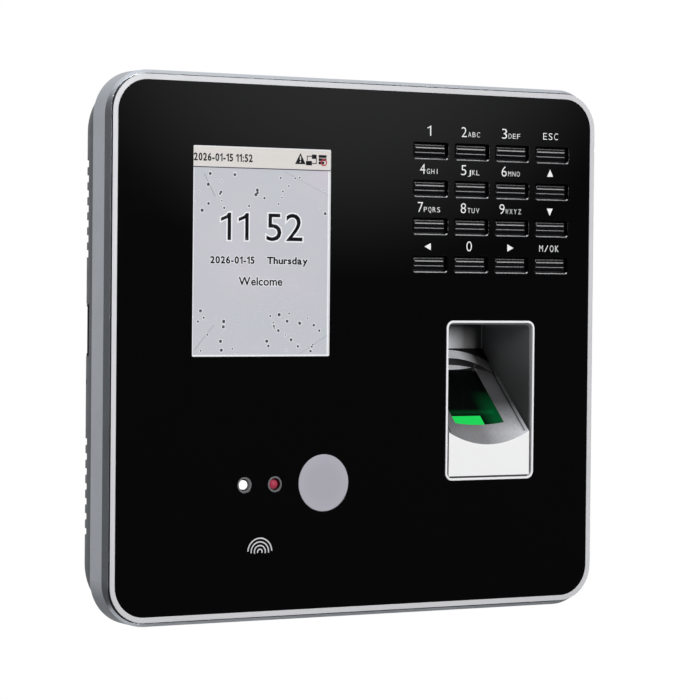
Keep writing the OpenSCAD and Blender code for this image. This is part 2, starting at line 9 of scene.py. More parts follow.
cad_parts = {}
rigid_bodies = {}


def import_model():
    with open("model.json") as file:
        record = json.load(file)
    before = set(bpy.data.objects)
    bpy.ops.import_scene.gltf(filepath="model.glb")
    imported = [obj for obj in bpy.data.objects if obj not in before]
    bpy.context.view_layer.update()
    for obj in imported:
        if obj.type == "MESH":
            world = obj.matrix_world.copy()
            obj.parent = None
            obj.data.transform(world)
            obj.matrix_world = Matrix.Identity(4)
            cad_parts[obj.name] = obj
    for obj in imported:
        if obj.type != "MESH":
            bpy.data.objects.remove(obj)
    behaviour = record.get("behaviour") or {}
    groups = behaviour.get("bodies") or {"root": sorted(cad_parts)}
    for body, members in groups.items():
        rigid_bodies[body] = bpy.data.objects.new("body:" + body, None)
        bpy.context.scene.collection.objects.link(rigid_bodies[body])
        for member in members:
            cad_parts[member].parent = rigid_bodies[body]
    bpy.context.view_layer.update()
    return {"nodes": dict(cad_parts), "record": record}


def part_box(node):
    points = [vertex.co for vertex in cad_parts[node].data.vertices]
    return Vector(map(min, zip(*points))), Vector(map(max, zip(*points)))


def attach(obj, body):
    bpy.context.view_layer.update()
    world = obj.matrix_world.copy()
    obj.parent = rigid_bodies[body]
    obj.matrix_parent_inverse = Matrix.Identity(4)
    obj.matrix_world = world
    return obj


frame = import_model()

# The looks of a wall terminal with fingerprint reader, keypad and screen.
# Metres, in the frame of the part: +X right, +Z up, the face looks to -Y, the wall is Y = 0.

MM = 0.001
LAYER = 0.012 * MM            # thickness of a printed or shown layer
random.seed(11)


# ---------- boxes of the frame ----------

def centre(node):
    low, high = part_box(node)
    return (low + high) / 2


PANEL_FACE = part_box("front_panel")[0].y
LENS_LOW, LENS_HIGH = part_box("display_lens")
DISPLAY_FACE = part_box("lcd_module")[0].y


# ---------- nodes of materials and of the world ----------

CLOUDS = 60                   # noise scale of soft clouds of tone
PATCHES = 140                 # noise scale of uneven gloss
BLACK = (0.0, 0.0, 0.0, 1.0)


class Nodes:
    """Short ways to add nodes to a tree and to link them."""

    def __init__(self, tree):
        self.tree = tree

    def put(self, socket, value):
        if isinstance(value, bpy.types.NodeSocket):
            self.tree.links.new(value, socket)
        else:
            socket.default_value = value

    def add(self, kind, settings=None, **inputs):
        node = self.tree.nodes.new(kind)
        for key, value in (settings or {}).items():
            setattr(node, key, value)
        for key, value in inputs.items():
            self.put(node.inputs[key.replace("_", " ")], value)
        return node

    def span(self, value, low, high, start=0.3, end=0.7, curve="LINEAR"):
        """Low up to start, high from end on, and a slope between them."""
        node = self.add("ShaderNodeMapRange", {"interpolation_type": curve}, Value=value)
        for socket, number in zip(node.inputs[1:5], (start, end, low, high)):
            socket.default_value = number
        return node.outputs[0]

    def math(self, operation, first, second=0.0):
        node = self.add("ShaderNodeMath", {"operation": operation})
        self.put(node.inputs[0], first)
        self.put(node.inputs[1], second)
        return node.outputs[0]

    def along(self, vector, direction):
        """How far a vector reaches along a direction."""
        node = self.add("ShaderNodeVectorMath", {"operation": "DOT_PRODUCT"}, Vector=vector)
        node.inputs[1].default_value = direction
        return node.outputs["Value"]


class Shader(Nodes):
    """A new material: its Principled shader, its place in the object, and what surfaces are made of."""

    def __init__(self, name):
        self.material = bpy.data.materials.new(name)
        self.material.use_nodes = True
        super().__init__(self.material.node_tree)
        self.base = self.tree.nodes["Principled BSDF"]
        self.place = self.add("ShaderNodeTexCoord").outputs["Object"]

    def set(self, **inputs):
        for key, value in inputs.items():
            self.put(self.base.inputs[key.replace("_", " ")], value)
        return self

    def noise(self, scale, detail=2.0, stretch=(1, 1, 1)):
        place = self.place
        if stretch != (1, 1, 1):
            place = self.add("ShaderNodeMapping", Vector=self.place, Scale=stretch).outputs[0]
        return self.add("ShaderNodeTexNoise", Vector=place, Scale=scale, Detail=detail).outputs["Fac"]

    def cells(self, scale):
        """A grey that differs from one small cell to the next."""
        colour = self.add("ShaderNodeTexVoronoi", Vector=self.place, Scale=scale).outputs["Color"]
        return self.add("ShaderNodeRGBToBW", Color=colour).outputs[0]

    def mix(self, share, first, second):
        node = self.add("ShaderNodeMix", {"data_type": "RGBA"})
        self.put(node.inputs[0], share)
        self.put(node.inputs[6], first)
        self.put(node.inputs[7], second)
        return node.outputs[2]

    def cloudy(self, first, second):
        """A tone that drifts between two colours."""
        return self.mix(self.noise(CLOUDS, 3.0), first, second)

    def scaled(self, colour, factor):
        """The colour that comes out of a node, made darker or lighter."""
        node = self.add("ShaderNodeVectorMath", {"operation": "SCALE"}, Vector=colour, Scale=factor)
        return node.outputs[0]

    def grained(self, colour, scale, detail, low, high):
        """The colour that comes out of a node, between low and high times as light."""
        return self.mix(self.noise(scale, detail), self.scaled(colour, low), self.scaled(colour, high))

    def axis(self, name):
        return self.add("ShaderNodeSeparateXYZ", Vector=self.place).outputs[name]

    def ramp(self, name, start, end, low=0.0, high=1.0):
        """From low to high between two places on an axis."""
        return self.span(self.axis(name), low, high, start, end)

    def away(self, name, place):
        """Distance from a place on an axis."""
        return self.math("ABSOLUTE", self.math("SUBTRACT", self.axis(name), place))

    def relief(self, height, depth, edge=0.0):
        node = self.add("ShaderNodeBump", Height=height, Distance=depth, Strength=1.0)
        if edge:
            rounding = self.add("ShaderNodeBevel", {"samples": 6}, Radius=edge)
            self.put(node.inputs["Normal"], rounding.outputs[0])
        return self.set(Normal=node.outputs[0])


# ---------- materials of the case ----------

def shade(colour, factor):
    return tuple(min(1.0, c * factor) for c in colour[:3]) + (1.0,)


def moulded(name, colour, rough, grain=2600, depth=0.004 * MM, edge=0.25 * MM, vary=0.06, **inputs):
    """Moulded or painted surface: cloudy tone, uneven gloss, fine grain and softened edges."""
    s = Shader(name)
    s.set(Base_Color=s.cloudy(shade(colour, 1 - vary), shade(colour, 1 + vary)))
    s.set(Roughness=s.span(s.noise(PATCHES, 4.0), rough * 0.88, rough * 1.12), **inputs)
    return s.relief(s.noise(grain, 2.0), depth, edge)


def plain(name, colour):
    return moulded(name, colour, 0.45)


def case_paint(name, colour):
    """Satin metallic paint: fine flakes under a thin clear coat."""
    s = moulded(name, colour, 0.34, grain=3800, depth=0.0015 * MM, edge=0.12 * MM,
                Metallic=0.9, Coat_Weight=0.25, Coat_Roughness=0.18)
    return s.set(Base_Color=s.mix(s.cells(7000.0), shade(colour, 0.86), shade(colour, 1.12)))


def textured_plastic(name, colour):
    """Spark-eroded grain of the rear case."""
    return moulded(name, colour, 0.5, grain=2100, depth=0.012 * MM, edge=0.35 * MM, vary=0.05)


def silver(name, colour):
    """Satin silver lacquer on plastic."""
    return moulded(name, colour, 0.42, grain=5200, depth=0.001 * MM, edge=0.18 * MM, vary=0.03, Metallic=0.08)


def trim(name, colour):
    """The same lacquer on the front of the trim; its flanks are painted dark, as painted shade in the gap
    beside it.
    """
    s = silver(name, colour)
    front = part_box("trim_frame")[0].y
    # painted shade: the flanks behind the front face are made nearly black
    shaded_flank = s.ramp("Y", front + 0.04 * MM, front + 0.12 * MM)
    face = s.cloudy(shade(colour, 0.97), shade(colour, 1.03))
    return s.set(Base_Color=s.mix(shaded_flank, face, shade(colour, 0.12)))


def gloss_black(name, colour):
    """Black acrylic: polished, with faint wiping marks that show only in its gloss."""
    s = moulded(name, colour, 0.03, grain=900, depth=0.0001 * MM, edge=0.12 * MM)
    wipes = s.noise(35, 5.0, (1.0, 1.0, 4.0))
    return s.set(Roughness=s.span(wipes, 0.02, 0.05))


def key_black(name, colour):
    """Keys of the same black, a little softer and with rounder edges."""
    return moulded(name, colour, 0.16, grain=3000, depth=0.0006 * MM, edge=0.22 * MM)


def rubber(name, colour):
    return moulded(name, colour, 0.7, grain=1800, depth=0.01 * MM, edge=0.2 * MM)


def clear_window(name, colour):
    """Clear hard window with a coating that is not quite even."""
    s = Shader(name)
    s.set(Base_Color=(0.97, 0.98, 1.0, 1.0), Transmission_Weight=1.0, IOR=1.2)
    return s.set(Roughness=s.span(s.noise(50, 4.0), 0.0, 0.02))


# ---------- materials of the fingerprint recess ----------

PAINTED_GREEN_LIGHT = (0.0, 0.08, 0.02, 1.0)         # painted light of the green strip on what is beside it, given as glow
PAINTED_ARCH_GLOW = (0.16, 0.16, 0.165, 1.0)           # painted glow on the arch, standing in for light that the recess throws back
GUIDE_WHITE = (0.88, 0.88, 0.88, 1.0)
ARCH_FACING = (0.0, -0.73, -0.68)            # the way that the underside of the arch faces


def painted_green_reach(s):
    """How strongly the painted light of the green strip lies on what is beside it, down to nothing 7 mm
    above.
    """
    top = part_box("glow_strip")[1].z
    return s.ramp("Z", top - 1.0 * MM, top + 7.0 * MM, 0.9, 0.0)


def arch_crown_highlight(s):
    """Where a painted highlight lies: the arch above the window, fading out towards its right end."""
    middle = centre("finger_guide").x
    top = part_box("sensor_window")[1].z
    return s.math("MULTIPLY", s.ramp("X", middle + 4.0 * MM, middle + 9.0 * MM, 1.0, 0.0),
                  s.ramp("Z", top - 0.4 * MM, top + 0.2 * MM))


def arch_underside_shade(s):
    """What faces down and forwards, towards the window: where painted shade is put under the arch."""
    facing = s.add("ShaderNodeTexCoord").outputs["Normal"]
    return s.span(s.along(facing, ARCH_FACING), 0.0, 1.0, 0.68, 0.8)


def window_wall(s):
    """The thin wall of the guide on the right of the window."""
    window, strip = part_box("sensor_window")[1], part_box("glow_strip")[1]
    half = (window.z - strip.z) / 2 + 1.3 * MM
    middle = (window.z + strip.z) / 2 - 0.4 * MM
    return s.math("MULTIPLY", s.span(s.away("X", window.x + 0.1 * MM), 1.0, 0.0, 0.03 * MM, 0.06 * MM),
                  s.span(s.away("Z", middle), 1.0, 0.0, half - 0.1 * MM, half))


def finger_guide_silver(name, colour):
    """Satin silver with painted shade deeper in the recess and towards the left, a painted highlight and
    painted glow on the arch, painted shade under it, a near-black thin wall with painted green light on it,
    and a white front.
    """
    s = silver(name, colour)
    low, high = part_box("finger_guide")
    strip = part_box("glow_strip")[1]
    painted_crown_highlight = arch_crown_highlight(s)
    under = arch_underside_shade(s)
    wall = window_wall(s)
    front = s.ramp("Y", low.y + 0.08 * MM, low.y + 0.22 * MM, 1.0, 0.0)
    # painted shade: the guide is made darker further up the slope, deeper in the recess
    painted_light_near_lip = s.ramp("Z", strip.z - 4.5 * MM, strip.z + 4.0 * MM, 1.0, 0.0)
    painted_light_rightwards = s.ramp("X", centre("finger_guide").x, high.x - 2.0 * MM)

    # painted light and shade: the slope is made lighter towards the right and darker towards the left
    slope = s.mix(painted_light_rightwards, shade(colour, 0.6), shade(colour, 1.5))
    # painted highlight: the arch is made 2.1 times as light
    tone = s.mix(painted_crown_highlight, s.mix(painted_light_near_lip, shade(colour, 0.24), slope), shade(colour, 2.1))
    tone = s.grained(tone, 900, 3.0, 0.85, 1.1)
    tone = s.grained(tone, 2600, 2.0, 0.8, 1.2)
    # painted shade: the underside of the arch is made dark; the thin wall beside the window is made near
    # black
    tone = s.mix(wall, s.mix(under, tone, shade(colour, 0.1)), shade(colour, 0.05))
    s.set(Base_Color=s.mix(front, tone, GUIDE_WHITE), Metallic=s.span(front, 0.35, 0.0, 0.0, 1.0))

    # painted light: the green strip's light on the thin wall, as glow
    painted_green_spill = s.math("MULTIPLY", wall, painted_green_reach(s))
    # painted glow on the arch, except where it faces down
    painted_glow_share = s.math("MULTIPLY", painted_crown_highlight, s.math("SUBTRACT", 0.9, under))
    s.set(Emission_Color=s.mix(painted_glow_share, s.mix(painted_green_spill, BLACK, PAINTED_GREEN_LIGHT), PAINTED_ARCH_GLOW), Emission_Strength=1.0)
    return s.set(Specular_IOR_Level=s.span(painted_light_near_lip, 0.06, 0.4, 0.0, 1.0))


def recess_grey_painted_light(name, colour):
    """Satin grey with painted light and shade: the back wall is painted paler on its left, with a painted
    highlight line down its right corner, and the side walls are painted darker towards the bottom.
    """
    s = moulded(name, colour, 0.45)
    well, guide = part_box("finger_well")[1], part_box("finger_guide")[1]
    back = s.ramp("Y", well.y - 1.15 * MM, well.y - 1.12 * MM)
    # painted light on the back wall, strongest on its left
    left = s.ramp("X", guide.x - 12.0 * MM, guide.x - 6.0 * MM, 1.0, 0.0)
    # painted highlight down the right corner of the back wall
    corner = s.span(s.away("X", guide.x - 0.05 * MM), 1.0, 0.0, 0.1 * MM, 0.24 * MM)
    # painted shade: the side walls are made darker towards the bottom
    height = s.ramp("Z", well.z - 34.0 * MM, well.z - 4.0 * MM)
    pale = s.mix(corner, s.mix(left, shade(colour, 0.8), shade(colour, 4.0)), shade(colour, 4.0))
    side = s.grained(s.mix(height, shade(colour, 0.2), shade(colour, 0.9)), CLOUDS, 3.0, 0.94, 1.06)
    return s.set(Base_Color=s.mix(back, side, pale))


def optical_window(name, colour):
    """Dark polished window with a painted green glow from the strip below, fading up and to the left."""
    s = moulded(name, shade(colour, 0.2), 0.06, grain=800, depth=0.0002 * MM, edge=0.08 * MM,
                Specular_IOR_Level=0.2)
    right_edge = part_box("sensor_window")[1].x
    right = s.ramp("X", right_edge - 5.5 * MM, right_edge - 1.0 * MM)
    line = s.span(s.away("Z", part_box("glow_strip")[1].z + 1.0 * MM), 0.4, 0.0, 0.0, 0.9 * MM)
    # painted light: green glow from the strip, strongest in a line just above it
    painted_green_glow = s.math("ADD", s.math("MULTIPLY", right, painted_green_reach(s)), line)
    return s.set(Emission_Color=s.mix(painted_green_glow, BLACK, PAINTED_GREEN_LIGHT), Emission_Strength=1.0)


# ---------- materials of cameras and lights ----------

def glowing(name, colour, light, gloss=0.5):
    """Plastic that glows, a little uneven: a lit LED, or a painted glint in a lens."""
    s = moulded(name, colour, 0.3, edge=0.0, Specular_IOR_Level=gloss)
    uneven = s.mix(s.noise(260, 2.0), shade(light, 0.88), shade(light, 1.12))
    return s.set(Emission_Color=uneven, Emission_Strength=1.0)


def green_light(name, colour):
    return glowing(name, shade(colour, 0.3), (0.0, 0.44, 0.035))


# painted glint: the white core of the camera lens glows
def white_lens_glint(name, colour):
    return glowing(name, colour, (0.9, 0.9, 0.92))


# painted glint: the reddish core of the infrared camera's lens glows dimly
def red_lens_glint(name, colour):
    return glowing(name, shade(colour, 0.5), (0.165, 0.018, 0.03), gloss=0.1)


def camera_barrel(name, colour):
    """Black barrel whose front ring is printed grey."""
    s = moulded(name, colour, 0.35, edge=0.1 * MM)
    front = s.ramp("Y", PANEL_FACE + 0.1 * MM, PANEL_FACE + 0.3 * MM, 1.0, 0.0)
    return s.set(Base_Color=s.mix(front, shade(colour, 0.3), (0.12, 0.12, 0.13, 1.0)))


def frosted(name, colour):
    """Frosted diffuser: slightly deeper in tone in the middle than at the edge."""
    s = moulded(name, colour, 0.5, grain=4200, depth=0.003 * MM, edge=0.3 * MM)
    middle = centre("fill_light_lens")
    across = s.math("POWER", s.away("X", middle.x), 2.0)
    height = s.math("POWER", s.away("Z", middle.z), 2.0)
    radius = s.math("SQRT", s.math("ADD", across, height))
    rim = s.span(radius, 0.0, 1.0, 4.0 * MM, 7.8 * MM)
    return s.set(Base_Color=s.mix(rim, shade(colour, 0.97), shade(colour, 1.06)))


# ---------- materials of metal and of the parts inside ----------

def brushed(name, colour):
    """Plated or rolled steel with fine lines along one way."""
    s = moulded(name, colour, 0.36, edge=0.1 * MM, Metallic=1.0)
    lines = s.noise(900, 3.0, (0.05, 1.0, 1.0))
    s.set(Roughness=s.span(lines, 0.26, 0.48))
    return s.relief(lines, 0.002 * MM, 0.1 * MM)


def zinc(name, colour):
    """Galvanised sheet with its crystals."""
    s = moulded(name, colour, 0.42, edge=0.15 * MM, Metallic=1.0)
    tone = s.cells(160.0)
    s.set(Base_Color=s.mix(tone, shade(colour, 0.82), shade(colour, 1.15)))
    return s.set(Roughness=s.span(tone, 0.3, 0.55, 0.0, 1.0))


def circuit_board(name, colour):
    """Solder mask with copper tracks under it and scattered tinned pads."""
    s = moulded(name, colour, 0.32, edge=0.0, vary=0.08)
    tracks = s.add("ShaderNodeTexVoronoi", {"distance": "CHEBYCHEV"}, Vector=s.place, Scale=420.0)
    line = s.span(s.math("PINGPONG", tracks.outputs["Distance"], 0.12), 0.0, 1.0, 0.03, 0.06)
    pads = s.add("ShaderNodeTexVoronoi", Vector=s.place, Scale=300.0).outputs["Distance"]
    pad = s.span(pads, 1.0, 0.0, 0.10, 0.14)
    masked = s.mix(line, shade(colour, 0.8), shade(colour, 1.7))
    s.set(Base_Color=s.mix(pad, masked, (0.62, 0.60, 0.55, 1.0)), Metallic=pad)
    return s.relief(line, 0.03 * MM)


def film(name, colour):
    """Thin translucent film with copper lines running along it."""
    s = moulded(name, colour, 0.25, edge=0.0)
    lines = s.math("PINGPONG", s.axis("X"), 0.4 * MM)
    share = s.span(lines, 0.0, 1.0, 0.15 * MM, 0.2 * MM)
    return s.set(Base_Color=s.mix(share, shade(colour, 1.5), shade(colour, 0.8)))


def chip_black(name, colour):
    return moulded(name, shade(colour, 0.4), 0.6, Specular_IOR_Level=0.1)


# A slot of the record that is not named here gets the plain finish.
RECIPES = {
    "case_paint": case_paint, "rear_plastic": textured_plastic, "trim_silver": trim, "bezel_chrome": silver,
    "panel_black": gloss_black, "key_black": key_black, "gasket_rubber": rubber, "mat_silicone": rubber,
    "display_clear": clear_window, "guide_silver": finger_guide_silver, "well_grey": recess_grey_painted_light,
    "sensor_glass": optical_window, "glow_green": green_light, "lens_white": white_lens_glint, "lens_red": red_lens_glint,
    "barrel_black": camera_barrel, "diffuser_frost": frosted, "galvanised_steel": zinc,
    "screw_steel": brushed, "lcd_metal": brushed, "socket_steel": brushed, "board_green": circuit_board,
    "flex_amber": film, "chip_black": chip_black,
}


def finish_nodes():
    """Gives every CAD node the finish of its slot in the record."""
    record = frame["record"]
    colours = {m["slot"]: m["base_color"] for m in record["materials"]}
    made = {}
    for part in record["subparts"]:
        slot = part["material_slot"]
        if slot not in made:
            made[slot] = RECIPES.get(slot, plain)(slot, colours[slot]).material
        node = frame["nodes"][part["node"]]
        node.data.materials.clear()
        node.data.materials.append(made[slot])


# ---------- thin printed and shown layers ----------

def flat_shape(bm, corners, y):
    """Adds a closed thin plate with this outline, given as (x, z) corners, its back at y."""
    front = [bm.verts.new((x, y - LAYER, z)) for x, z in corners]
    back = [bm.verts.new((x, y, z)) for x, z in corners]
    bm.faces.new(front)
    bm.faces.new(back[::-1])
    for i, corner in enumerate(front):
        bm.faces.new((corner, back[i], back[i - 1], front[i - 1]))


def rectangle(x, z, half_w, half_h):
    """Corners around a middle."""
    return [(x + right * half_w, z + up * half_h) for right, up in ((-1, -1), (1, -1), (1, 1), (-1, 1))]


def on_circle(x, z, radius, degrees):
    turn = math.radians(degrees)
    return x + radius * math.cos(turn), z + radius * math.sin(turn)


def disc(x, z, radius, count=12):
    return [on_circle(x, z, radius, 360 * i / count) for i in range(count)]


def ring(bm, x, z, outer, inner, y, start=0.0, sweep=360.0, count=16):
    """Adds a thin ring or a part of one, as a chain of plates."""
    for i in range(count):
        first, second = (start + sweep * k / count for k in (i, i + 1))
        corners = ((inner, first), (outer, first), (outer, second), (inner, second))
        flat_shape(bm, [on_circle(x, z, radius, turn) for radius, turn in corners], y)


def piece(name, bm, material):
    """Makes an object of a mesh under construction, and lets it ride on the terminal."""
    bmesh.ops.recalc_face_normals(bm, faces=bm.faces)
    mesh = bpy.data.meshes.new(name)
    bm.to_mesh(mesh)
    bm.free()
    mesh.materials.append(material)
    thing = bpy.data.objects.new(name, mesh)
    bpy.context.scene.collection.objects.link(thing)
    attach(thing, "terminal")


# ---------- letters ----------

DIGIT_RISE = 0.70             # height of the figures of the built-in font
ONE = [                       # outline of the figure one, as high as 1
    (0.25, 0.0), (0.38, 0.0), (0.38, 1.0), (0.28, 1.0), (0.20, 0.90), (0.0, 0.81), (0.0, 0.69), (0.25, 0.80),
]
BLANK = 0.3                   # width of a space
TUCK = {"r": 0.05, "T": 0.04, "y": 0.02}     # signs that leave room for the next one
NARROW = "I1"                 # signs that are not widened to their cell
SIGNS = {}                    # letters made so far


def sign_curve(sign):
    """The outline of one letter of the built-in font; the figure one gets its usual flag."""
    if sign != "1":
        curve = bpy.data.curves.new("sign", "FONT")
        curve.body = sign
        return curve
    curve = bpy.data.curves.new("sign", "CURVE")
    curve.dimensions = "2D"
    curve.fill_mode = "BOTH"
    spline = curve.splines.new("POLY")
    spline.points.add(len(ONE) - 1)
    for point, (x, z) in zip(spline.points, ONE):
        point.co = (x * DIGIT_RISE, z * DIGIT_RISE, 0.0, 1.0)
    spline.use_cyclic_u = True
    return curve


def sign_shape(sign, swell):
    """Corners and faces of one raised letter, one unit thick, its strokes widened by swell on each side."""
    if (sign, swell) in SIGNS:
        return SIGNS[sign, swell]
    curve = sign_curve(sign)
    curve.resolution_u = 3
    curve.extrude = 0.5
    curve.offset = swell
    holder = bpy.data.objects.new("sign", curve)
    bpy.context.scene.collection.objects.link(holder)
    mesh = bpy.data.meshes.new_from_object(holder.evaluated_get(bpy.context.evaluated_depsgraph_get()))
    SIGNS[sign, swell] = ([tuple(v.co) for v in mesh.vertices], [tuple(f.vertices) for f in mesh.polygons])
    for leftover, store in ((holder, bpy.data.objects), (curve, bpy.data.curves), (mesh, bpy.data.meshes)):
        store.remove(leftover)
    return SIGNS[sign, swell]


def sign_reach(sign, weight):
    """The left and right end of a letter."""
    across = [point[0] for point in sign_shape(sign, weight)[0]]
    return min(across), max(across)


def lettering(bm, text, box, y, weight=0.0, swell=0.0, gap=0.09, cell=None):
    """Adds raised letters that fill a box (left, base line, right, top) on a face, standing on y.

    Weight thickens the letters themselves. Swell does so on top of it without moving them, for an edge
    around them. With a cell width the letters are as wide as their cell, as on an engraved keypad.
    """
    left, base, right, top = box
    reach = {sign: (0.0, BLANK - gap) if sign == " " else sign_reach(sign, weight) for sign in text}
    taken = {sign: cell or high - low for sign, (low, high) in reach.items()}
    steps = {sign: taken[sign] + gap - TUCK.get(sign, 0.0) for sign in text}
    wide = (right - left) / (sum(steps[sign] for sign in text) - gap)
    tall = (top - base) / max(point[1] for point in sign_shape(text[0], weight)[0])
    pen = 0.0
    for sign in text:
        low, high = reach[sign]
        squeeze = cell / (high - low) if cell and sign not in NARROW else 1.0
        start = pen + (taken[sign] - (high - low) * squeeze) / 2
        points, faces = ((), ()) if sign == " " else sign_shape(sign, weight + swell)
        corners = []
        for x, z, raised in points:
            across = start + (x - low) * squeeze
            corners.append(bm.verts.new((left + across * wide, y - (0.5 + raised) * LAYER, base + z * tall)))
        for face in faces:
            bm.faces.new([corners[i] for i in face])
        pen += steps[sign]


# ---------- what is printed and cut on the face ----------

LEGENDS = [                   # key, digit, letters
    ("key_1", "1", ""), ("key_2", "2", "ABC"), ("key_3", "3", "DEF"), ("key_esc", "", "ESC"),
    ("key_4", "4", "GHI"), ("key_5", "5", "JKL"), ("key_6", "6", "MNO"), ("key_up", "", ""),
    ("key_7", "7", "PQRS"), ("key_8", "8", "TUV"), ("key_9", "9", "WXYZ"), ("key_down", "", ""),
    ("key_left", "", ""), ("key_0", "0", ""), ("key_right", "", ""), ("key_ok", "", "M/OK"),
]
ARROWS = {"key_up": 90, "key_down": 270, "key_left": 180, "key_right": 0}    # where they point, in degrees
KEYS_IN_ROW = 4
LEGEND_RISE = 4.2 * MM        # from the middle of a key to the base line, in the top row
ROW_DROP = 0.16 * MM          # each row has its legends this much nearer to its keys
DIGIT_TALL = 2.85 * MM
DIGIT_WIDE = 1.75 * MM
THIN = -0.010                 # strokes thinner than those of the font

LETTER_LIFT = 0.1 * MM        # letters beside a digit
LETTER_TALL = 1.42 * MM
BESIDE = {3: (-3.6, -1.35, 2.6), 4: (-4.2, -2.2, 3.2)}      # mm: left of the digit, the letters, their right

ALONE_SHIFT = 0.65 * MM       # a digit or an arrow alone stands left of the key's middle
ARROW_SHIFT = 0.57 * MM
ARROW_RADIUS = 1.3 * MM
ARROW_LIFT = 1.15 * MM
ARROW_CORNERS = (0, 128, -128)

WORDS = {"ESC": (-3.1, 2.0), "M/OK": (-4.05, 2.7)}          # left and right end, in mm
WORD_BASE = 0.2 * MM
WORD_TOP = 2.1 * MM


def digit_with_letters(bm, digit, letters, x, base):
    digit_left, left, right = (x + place * MM for place in BESIDE[len(letters)])
    lettering(bm, digit, (digit_left, base, digit_left + DIGIT_WIDE, base + DIGIT_TALL), PANEL_FACE, THIN)
    base += LETTER_LIFT
    lettering(bm, letters, (left, base, right, base + LETTER_TALL), PANEL_FACE, THIN, gap=0.17, cell=0.42)


def digit_alone(bm, digit, x, base):
    middle = x - ALONE_SHIFT
    half = (0.62 if digit == "1" else 0.92) * MM
    lettering(bm, digit, (middle - half, base, middle + half, base + DIGIT_TALL), PANEL_FACE, THIN)


def key_word(bm, word, x, base):
    left, right = (x + place * MM for place in WORDS[word])
    box = (left, base + WORD_BASE, right, base + WORD_TOP)
    lettering(bm, word, box, PANEL_FACE, THIN, gap=0.2, cell=0.44)


def arrow(bm, turn, x, z):
    flat_shape(bm, [on_circle(x, z, ARROW_RADIUS, turn + corner) for corner in ARROW_CORNERS], PANEL_FACE)


def legends(material):
    """White digits, letters and arrows above the keys."""
    bm = bmesh.new()
    for i, (key, digit, letters) in enumerate(LEGENDS):
        x = centre(key).x
        base = centre(key).z + LEGEND_RISE - ROW_DROP * (i // KEYS_IN_ROW)
        if key in ARROWS:
            arrow(bm, ARROWS[key], x - ARROW_SHIFT, base + ARROW_LIFT)
        elif digit and letters:
            digit_with_letters(bm, digit, letters, x, base)
        elif digit:
            digit_alone(bm, digit, x, base)
        else:
            key_word(bm, letters, x, base)
    piece("key_legends", bm, material)


MARK_X, MARK_Z = -32.0 * MM, -55.4 * MM
MARK_ARCS = 4
MARK_PITCH = 1.0 * MM
MARK_CORE = 0.7 * MM          # radius of the smallest arc
MARK_HALF = 0.18 * MM         # half the width of a line
MARK_START, MARK_SWEEP = -25, 230            # of the smallest arc, in degrees
MARK_CUT = 9                  # each arc is shorter than the last by this at both ends


def reader_mark(material):
    """A small plain fingerprint sign: a few arcs, at the lower left of the face."""
    bm = bmesh.new()
    for i in range(MARK_ARCS):
        radius = MARK_CORE + MARK_PITCH * i
        ring(bm, MARK_X, MARK_Z, radius + MARK_HALF, radius - MARK_HALF, PANEL_FACE,
             MARK_START + MARK_CUT * i, MARK_SWEEP - 2 * MARK_CUT * i)
    piece("reader_mark", bm, material)


EDGE_SECTION = [(-0.005, -0.30), (-0.001, 0.001), (-0.27, -0.26)]     # mm out from the corner, mm proud
EDGE_CORNER = 0.75 * MM
EDGE_IN_X = 0.55 * MM         # the openings are smaller than the flanges of the keys
EDGE_IN_Z = 0.6 * MM
EDGE_TURN = 15                # degrees from one section to the next
EDGE_PATH = [(-1, 180 + EDGE_TURN * i) for i in range(7)] + [(1, 270 + EDGE_TURN * i) for i in range(5)]


def opening_edge(bm, key):
    """One bevel: from the left side around the lower left corner and up into the lower right one."""
    low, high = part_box(key)
    at = centre(key)
    half_w = (high.x - low.x) / 2 - EDGE_IN_X - EDGE_CORNER
    half_h = (high.z - low.z) / 2 - EDGE_IN_Z - EDGE_CORNER
    rows = []
    for side, turn in EDGE_PATH:
        rows.append([])
        for out, proud in EDGE_SECTION:
            x, z = on_circle(at.x + side * half_w, at.z - half_h, EDGE_CORNER + out * MM, turn)
            rows[-1].append(bm.verts.new((x, PANEL_FACE - proud * MM, z)))
    for first, second in zip(rows, rows[1:]):
        for i in range(len(EDGE_SECTION)):
            bm.faces.new((first[i - 1], first[i], second[i], second[i - 1]))
    bm.faces.new(rows[0])
    bm.faces.new(rows[-1][::-1])


def key_opening_edges(material):
    """The polished bevel along the lower edge of each key opening, turned up at both ends, in light grey
    metal: a painted highlight line on the black face.
    """
    bm = bmesh.new()
    for key, _, _ in LEGENDS:
        opening_edge(bm, key)
    piece("key_opening_edges", bm, material)


# ---------- the picture on the screen ----------

PIXEL = 0.18 * MM
SHOWN = {                     # colours of the picture; the ground drifts between two
    "ground": ((0.535, 0.57, 0.59), (0.60, 0.565, 0.615)),
    "cream": ((0.73, 0.69, 0.65),),
    "white": ((0.86, 0.86, 0.87),),
    "dark": ((0.004, 0.004, 0.006),),
    "grey": ((0.08, 0.08, 0.10),),
    "red": ((0.45, 0.05, 0.06),),
}

# Places on the picture are u from left to right and v from top to bottom, 0 to 1. A box is u0, v0, u1, v1.
WHOLE_BOX = (0.0, 0.0, 1.0, 1.0)
GROUND_BOX = (0.012, 0.103, 0.988, 0.992)
STATUS_BOX = (0.006, 0.004, 0.996, 0.098)
STATUS_LINE_BOX = (0.0, 0.098, 1.0, 0.103)
STATUS_TEXT = "2026-01-15 11:52"
STATUS_TEXT_BOX = (0.008, 0.034, 0.43, 0.070)
STATUS_WEIGHT = 0.03
WEB_BANDS = [((0.12, 0.31), 26), ((0.78, 0.98), 34)]        # v from and to, and how many dots
WEB_SIDES = (0.03, 0.97)      # u from and to
DOT_RADII = (0.2, 0.5)        # mm
HALO = 0.18 * MM              # pale edge around a dot
WEB_LINES = [                 # from one end to the other
    (0.66, 0.11, 0.99, 0.22), (0.78, 0.99, 0.99, 0.90), (0.02, 0.97, 0.16, 0.85), (0.08, 0.13, 0.16, 0.24),
]
